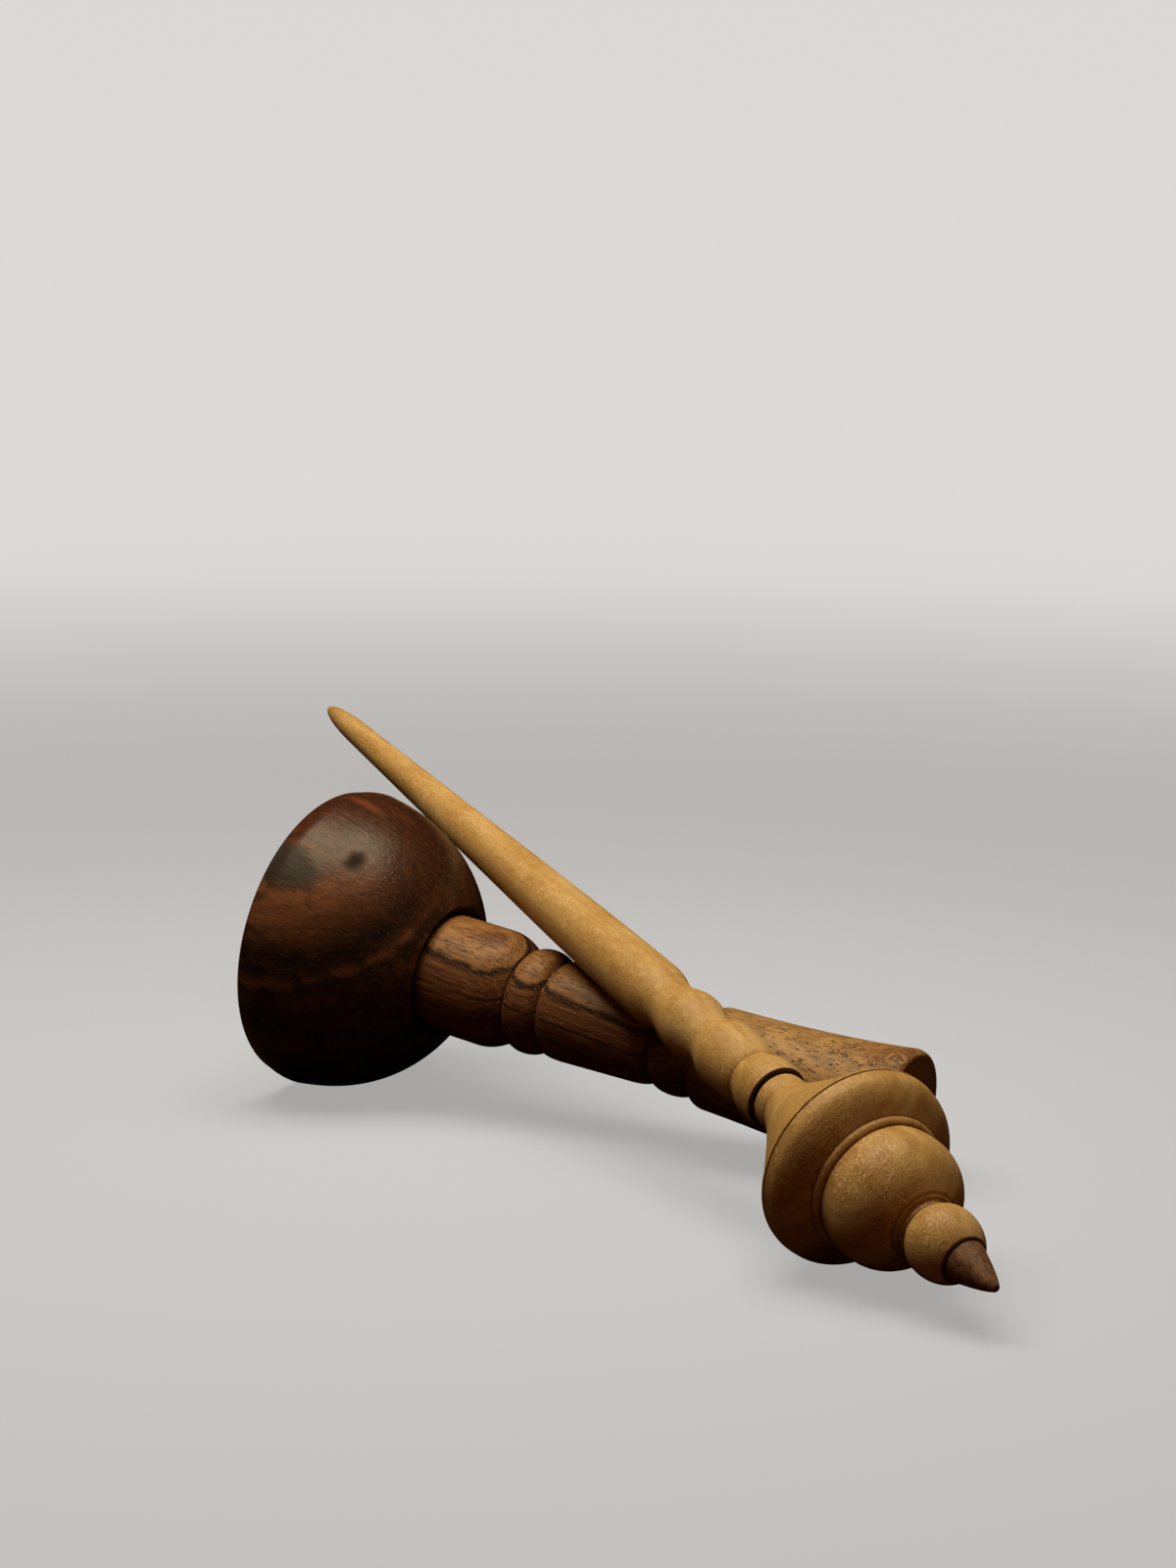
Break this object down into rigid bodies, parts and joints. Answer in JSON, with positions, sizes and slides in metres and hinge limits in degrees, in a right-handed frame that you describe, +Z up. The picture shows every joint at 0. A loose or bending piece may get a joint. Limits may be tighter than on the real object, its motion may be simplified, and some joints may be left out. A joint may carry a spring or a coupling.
{
  "type": "support spindle",
  "caption": "Turned hardwood support spindle with a disc whorl, stacked balls and a dark tip, leaning on its own dark wood lap bowl with a turned handle",
  "frame": {"origin": "on the table, under the middle of the pair's bounding box", "axes": "+Z up from the table; +X along the spindle as seen from above, with its tip at +X; the bowl's mouth faces -X and its foot lies at +X and +Y"},
  "size_m": [0.2832, 0.1138, 0.0746],
  "materials": {
    "pale_wood": "satin oiled",
    "dark_wood": "satin oiled",
    "tip_wood": "satin"
  },
  "bodies": {
    "bowl_set": {"bowl": "dark_wood", "handle": "dark_wood"},
    "spindle": {"shaft": "pale_wood", "whorl": "pale_wood", "tip": "tip_wood"}
  },
  "joints": [
    {"name": "spindle_spin", "type": "hinge", "parent": "bowl_set", "child": "spindle", "pos_m": [0.14153, 0.00674, 0.00983], "axis": [-0.9755, 0, 0.2201], "continuous": true}
  ]
}
